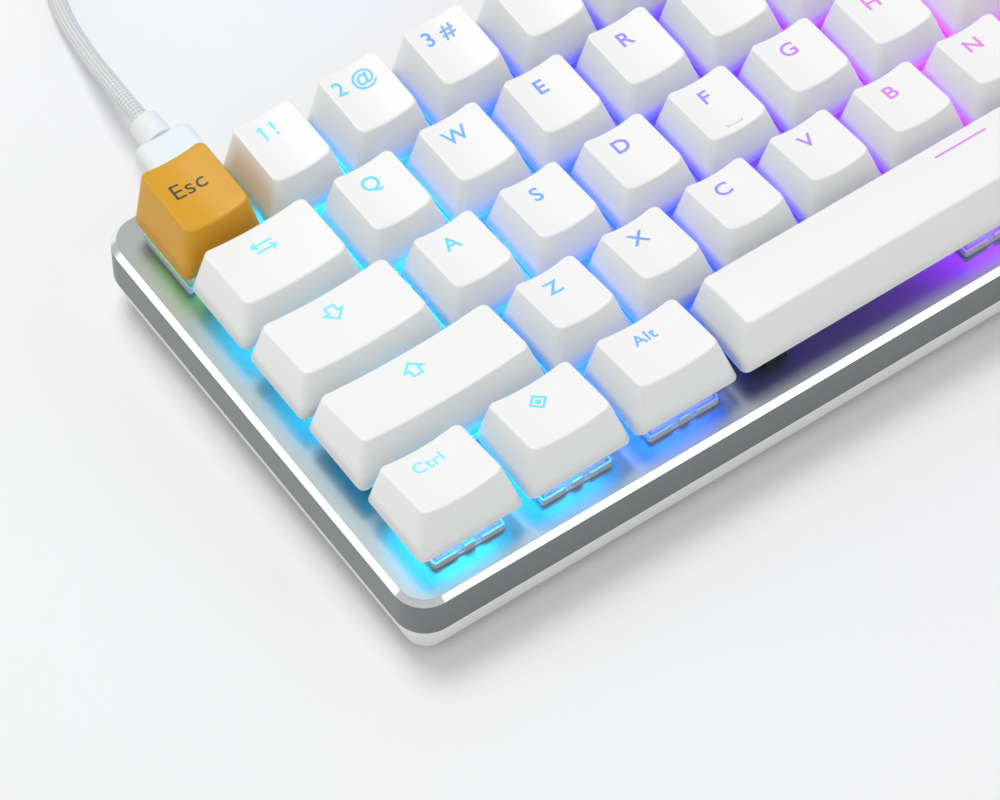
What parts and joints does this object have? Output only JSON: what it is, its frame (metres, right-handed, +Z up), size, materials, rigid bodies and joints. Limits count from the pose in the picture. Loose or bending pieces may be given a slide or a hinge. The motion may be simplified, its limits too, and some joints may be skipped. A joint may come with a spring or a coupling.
{
  "type": "mechanical keyboard",
  "caption": "Compact mechanical keyboard with clear-housed switches, dished white caps, an orange escape cap, a metal top plate and a detachable braided cable.",
  "frame": {"origin": "middle of the case at table level, under the rubber feet", "axes": "+X to the typist's right along the rows, +Y from the space bar to the number row, +Z up"},
  "size_m": [0.2948, 0.1885, 0.0376],
  "materials": {
    "case_white": "matt white plastic",
    "plate_metal": "fine blasted, anodised silver",
    "board": "black solder mask",
    "chip_black": "moulded epoxy",
    "housing_black": "moulded nylon",
    "housing_clear": "clear polycarbonate",
    "spring_steel": "bright drawn wire",
    "contact_brass": "gold-plated copper alloy",
    "led_white": "white epoxy with a clear window",
    "screw_steel": "zinc plated",
    "rubber_black": "matt rubber",
    "foot_white": "matt plastic",
    "socket_steel": "stamped and plated",
    "plug_white": "soft-touch white moulding",
    "cable_white": "braided sleeve",
    "tie_grey": "woven strap",
    "key_white": "fine matt double-shot plastic",
    "key_orange": "fine matt double-shot plastic"
  },
  "bodies": {
    "case": {"lower_case": "case_white", "top_plate": "plate_metal", "circuit_board": "board", "board_chips": "chip_black", "switch_bottom_housings": "housing_clear", "switch_top_housings": "housing_clear", "switch_springs": "spring_steel", "switch_contacts": "contact_brass", "backlight_leds": "led_white", "stabiliser_housings": "housing_black", "case_screws": "screw_steel", "rubber_feet": "rubber_black", "usb_socket": "socket_steel", "usb_c_plug_shell": "socket_steel", "usb_c_plug_body": "plug_white", "usb_cable": "cable_white", "usb_cable_coil": "cable_white", "cable_tie": "tie_grey", "computer_plug_body": "plug_white", "computer_plug_shell": "socket_steel"},
    "left_foot": {"folding_foot_left": "foot_white"},
    "right_foot": {"folding_foot_right": "foot_white"},
    "key_esc_body": {"key_esc": "key_orange"},
    "key_1_body": {"key_1": "key_white"},
    "key_2_body": {"key_2": "key_white"},
    "key_3_body": {"key_3": "key_white"},
    "key_4_body": {"key_4": "key_white"},
    "key_backspace_body": {"key_backspace": "key_white"},
    "key_tab_body": {"key_tab": "key_white"},
    "key_q_body": {"key_q": "key_white"},
    "key_w_body": {"key_w": "key_white"},
    "key_e_body": {"key_e": "key_white"},
    "key_r_body": {"key_r": "key_white"},
    "key_caps_lock_body": {"key_caps_lock": "key_white"},
    "key_a_body": {"key_a": "key_white"},
    "key_s_body": {"key_s": "key_white"},
    "key_d_body": {"key_d": "key_white"},
    "key_f_body": {"key_f": "key_white"},
    "key_enter_body": {"key_enter": "key_white"},
    "key_shift_left_body": {"key_shift_left": "key_white"},
    "key_z_body": {"key_z": "key_white"},
    "key_x_body": {"key_x": "key_white"},
    "key_c_body": {"key_c": "key_white"},
    "key_v_body": {"key_v": "key_white"},
    "key_b_body": {"key_b": "key_white"},
    "key_shift_right_body": {"key_shift_right": "key_white"},
    "key_ctrl_left_body": {"key_ctrl_left": "key_white"},
    "key_super_left_body": {"key_super_left": "key_white"},
    "key_alt_left_body": {"key_alt_left": "key_white"},
    "key_space_body": {"key_space": "key_white"},
    "keys_5_to_equals_body": {"keys_5_to_equals": "key_white"},
    "keys_t_to_backslash_body": {"keys_t_to_backslash": "key_white"},
    "keys_g_to_quote_body": {"keys_g_to_quote": "key_white"},
    "keys_n_to_slash_body": {"keys_n_to_slash": "key_white"},
    "keys_right_modifiers_body": {"keys_right_modifiers": "key_white"},
    "space_wire_body": {"space_wire": "spring_steel"},
    "shift_left_wire_body": {"shift_left_wire": "spring_steel"},
    "shift_right_wire_body": {"shift_right_wire": "spring_steel"},
    "enter_wire_body": {"enter_wire": "spring_steel"},
    "backspace_wire_body": {"backspace_wire": "spring_steel"}
  },
  "joints": [
    {"name": "key_esc_press", "type": "slide", "parent": "case", "child": "key_esc_body", "axis": [0, 0, -1], "range_m": [0, 0.004], "stiffness_N_per_m": 70, "springref_m": -0.006, "deforming": ["switch_springs"]},
    {"name": "key_1_press", "type": "slide", "parent": "case", "child": "key_1_body", "axis": [0, 0, -1], "range_m": [0, 0.004], "stiffness_N_per_m": 70, "springref_m": -0.006, "deforming": ["switch_springs"]},
    {"name": "key_2_press", "type": "slide", "parent": "case", "child": "key_2_body", "axis": [0, 0, -1], "range_m": [0, 0.004], "stiffness_N_per_m": 70, "springref_m": -0.006, "deforming": ["switch_springs"]},
    {"name": "key_3_press", "type": "slide", "parent": "case", "child": "key_3_body", "axis": [0, 0, -1], "range_m": [0, 0.004], "stiffness_N_per_m": 70, "springref_m": -0.006, "deforming": ["switch_springs"]},
    {"name": "key_4_press", "type": "slide", "parent": "case", "child": "key_4_body", "axis": [0, 0, -1], "range_m": [0, 0.004], "stiffness_N_per_m": 70, "springref_m": -0.006, "deforming": ["switch_springs"]},
    {"name": "key_backspace_press", "type": "slide", "parent": "case", "child": "key_backspace_body", "axis": [0, 0, -1], "range_m": [0, 0.004], "stiffness_N_per_m": 70, "springref_m": -0.006, "deforming": ["switch_springs"]},
    {"name": "key_tab_press", "type": "slide", "parent": "case", "child": "key_tab_body", "axis": [0, 0, -1], "range_m": [0, 0.004], "stiffness_N_per_m": 70, "springref_m": -0.006, "deforming": ["switch_springs"]},
    {"name": "key_q_press", "type": "slide", "parent": "case", "child": "key_q_body", "axis": [0, 0, -1], "range_m": [0, 0.004], "stiffness_N_per_m": 70, "springref_m": -0.006, "deforming": ["switch_springs"]},
    {"name": "key_w_press", "type": "slide", "parent": "case", "child": "key_w_body", "axis": [0, 0, -1], "range_m": [0, 0.004], "stiffness_N_per_m": 70, "springref_m": -0.006, "deforming": ["switch_springs"]},
    {"name": "key_e_press", "type": "slide", "parent": "case", "child": "key_e_body", "axis": [0, 0, -1], "range_m": [0, 0.004], "stiffness_N_per_m": 70, "springref_m": -0.006, "deforming": ["switch_springs"]},
    {"name": "key_r_press", "type": "slide", "parent": "case", "child": "key_r_body", "axis": [0, 0, -1], "range_m": [0, 0.004], "stiffness_N_per_m": 70, "springref_m": -0.006, "deforming": ["switch_springs"]},
    {"name": "key_caps_lock_press", "type": "slide", "parent": "case", "child": "key_caps_lock_body", "axis": [0, 0, -1], "range_m": [0, 0.004], "stiffness_N_per_m": 70, "springref_m": -0.006, "deforming": ["switch_springs"]},
    {"name": "key_a_press", "type": "slide", "parent": "case", "child": "key_a_body", "axis": [0, 0, -1], "range_m": [0, 0.004], "stiffness_N_per_m": 70, "springref_m": -0.006, "deforming": ["switch_springs"]},
    {"name": "key_s_press", "type": "slide", "parent": "case", "child": "key_s_body", "axis": [0, 0, -1], "range_m": [0, 0.004], "stiffness_N_per_m": 70, "springref_m": -0.006, "deforming": ["switch_springs"]},
    {"name": "key_d_press", "type": "slide", "parent": "case", "child": "key_d_body", "axis": [0, 0, -1], "range_m": [0, 0.004], "stiffness_N_per_m": 70, "springref_m": -0.006, "deforming": ["switch_springs"]},
    {"name": "key_f_press", "type": "slide", "parent": "case", "child": "key_f_body", "axis": [0, 0, -1], "range_m": [0, 0.004], "stiffness_N_per_m": 70, "springref_m": -0.006, "deforming": ["switch_springs"]},
    {"name": "key_enter_press", "type": "slide", "parent": "case", "child": "key_enter_body", "axis": [0, 0, -1], "range_m": [0, 0.004], "stiffness_N_per_m": 70, "springref_m": -0.006, "deforming": ["switch_springs"]},
    {"name": "key_shift_left_press", "type": "slide", "parent": "case", "child": "key_shift_left_body", "axis": [0, 0, -1], "range_m": [0, 0.004], "stiffness_N_per_m": 70, "springref_m": -0.006, "deforming": ["switch_springs"]},
    {"name": "key_z_press", "type": "slide", "parent": "case", "child": "key_z_body", "axis": [0, 0, -1], "range_m": [0, 0.004], "stiffness_N_per_m": 70, "springref_m": -0.006, "deforming": ["switch_springs"]},
    {"name": "key_x_press", "type": "slide", "parent": "case", "child": "key_x_body", "axis": [0, 0, -1], "range_m": [0, 0.004], "stiffness_N_per_m": 70, "springref_m": -0.006, "deforming": ["switch_springs"]},
    {"name": "key_c_press", "type": "slide", "parent": "case", "child": "key_c_body", "axis": [0, 0, -1], "range_m": [0, 0.004], "stiffness_N_per_m": 70, "springref_m": -0.006, "deforming": ["switch_springs"]},
    {"name": "key_v_press", "type": "slide", "parent": "case", "child": "key_v_body", "axis": [0, 0, -1], "range_m": [0, 0.004], "stiffness_N_per_m": 70, "springref_m": -0.006, "deforming": ["switch_springs"]},
    {"name": "key_b_press", "type": "slide", "parent": "case", "child": "key_b_body", "axis": [0, 0, -1], "range_m": [0, 0.004], "stiffness_N_per_m": 70, "springref_m": -0.006, "deforming": ["switch_springs"]},
    {"name": "key_shift_right_press", "type": "slide", "parent": "case", "child": "key_shift_right_body", "axis": [0, 0, -1], "range_m": [0, 0.004], "stiffness_N_per_m": 70, "springref_m": -0.006, "deforming": ["switch_springs"]},
    {"name": "key_ctrl_left_press", "type": "slide", "parent": "case", "child": "key_ctrl_left_body", "axis": [0, 0, -1], "range_m": [0, 0.004], "stiffness_N_per_m": 70, "springref_m": -0.006, "deforming": ["switch_springs"]},
    {"name": "key_super_left_press", "type": "slide", "parent": "case", "child": "key_super_left_body", "axis": [0, 0, -1], "range_m": [0, 0.004], "stiffness_N_per_m": 70, "springref_m": -0.006, "deforming": ["switch_springs"]},
    {"name": "key_alt_left_press", "type": "slide", "parent": "case", "child": "key_alt_left_body", "axis": [0, 0, -1], "range_m": [0, 0.004], "stiffness_N_per_m": 70, "springref_m": -0.006, "deforming": ["switch_springs"]},
    {"name": "key_space_press", "type": "slide", "parent": "case", "child": "key_space_body", "axis": [0, 0, -1], "range_m": [0, 0.004], "stiffness_N_per_m": 70, "springref_m": -0.006, "deforming": ["switch_springs"]},
    {"name": "keys_5_to_equals_press", "type": "slide", "parent": "case", "child": "keys_5_to_equals_body", "axis": [0, 0, -1], "range_m": [0, 0.004], "stiffness_N_per_m": 560, "springref_m": -0.006, "deforming": ["switch_springs"]},
    {"name": "keys_t_to_backslash_press", "type": "slide", "parent": "case", "child": "keys_t_to_backslash_body", "axis": [0, 0, -1], "range_m": [0, 0.004], "stiffness_N_per_m": 630, "springref_m": -0.006, "deforming": ["switch_springs"]},
    {"name": "keys_g_to_quote_press", "type": "slide", "parent": "case", "child": "keys_g_to_quote_body", "axis": [0, 0, -1], "range_m": [0, 0.004], "stiffness_N_per_m": 490, "springref_m": -0.006, "deforming": ["switch_springs"]},
    {"name": "keys_n_to_slash_press", "type": "slide", "parent": "case", "child": "keys_n_to_slash_body", "axis": [0, 0, -1], "range_m": [0, 0.004], "stiffness_N_per_m": 350, "springref_m": -0.006, "deforming": ["switch_springs"]},
    {"name": "keys_right_modifiers_press", "type": "slide", "parent": "case", "child": "keys_right_modifiers_body", "axis": [0, 0, -1], "range_m": [0, 0.004], "stiffness_N_per_m": 280, "springref_m": -0.006, "deforming": ["switch_springs"]},
    {"name": "space_wire_tilt", "type": "hinge", "parent": "case", "child": "space_wire_body", "pos_m": [-0.01191, -0.0292, 0.0203], "axis": [1, 0, 0], "range_deg": [-0.5, 31]},
    {"name": "shift_left_wire_tilt", "type": "hinge", "parent": "case", "child": "shift_left_wire_body", "pos_m": [-0.12144, -0.01015, 0.0203], "axis": [1, 0, 0], "range_deg": [-0.5, 31]},
    {"name": "shift_right_wire_tilt", "type": "hinge", "parent": "case", "child": "shift_right_wire_body", "pos_m": [0.11668, -0.01015, 0.0203], "axis": [1, 0, 0], "range_deg": [-0.5, 31]},
    {"name": "enter_wire_tilt", "type": "hinge", "parent": "case", "child": "enter_wire_body", "pos_m": [0.12144, 0.0089, 0.0203], "axis": [1, 0, 0], "range_deg": [-0.5, 31]},
    {"name": "backspace_wire_tilt", "type": "hinge", "parent": "case", "child": "backspace_wire_body", "pos_m": [0.12383, 0.047, 0.0203], "axis": [1, 0, 0], "range_deg": [-0.5, 31]},
    {"name": "left_foot_fold", "type": "hinge", "parent": "case", "child": "left_foot", "pos_m": [-0.084, 0.04, 0.0036], "axis": [1, 0, 0], "range_deg": [0, 95]},
    {"name": "right_foot_fold", "type": "hinge", "parent": "case", "child": "right_foot", "pos_m": [0.084, 0.04, 0.0036], "axis": [1, 0, 0], "range_deg": [0, 95]}
  ],
  "couplings": [
    {"joint": "space_wire_tilt", "follows": "key_space_press", "rad_per_m": 133.2},
    {"joint": "shift_left_wire_tilt", "follows": "key_shift_left_press", "rad_per_m": 133.2},
    {"joint": "shift_right_wire_tilt", "follows": "key_shift_right_press", "rad_per_m": 133.2},
    {"joint": "enter_wire_tilt", "follows": "key_enter_press", "rad_per_m": 133.2},
    {"joint": "backspace_wire_tilt", "follows": "key_backspace_press", "rad_per_m": 133.2}
  ]
}
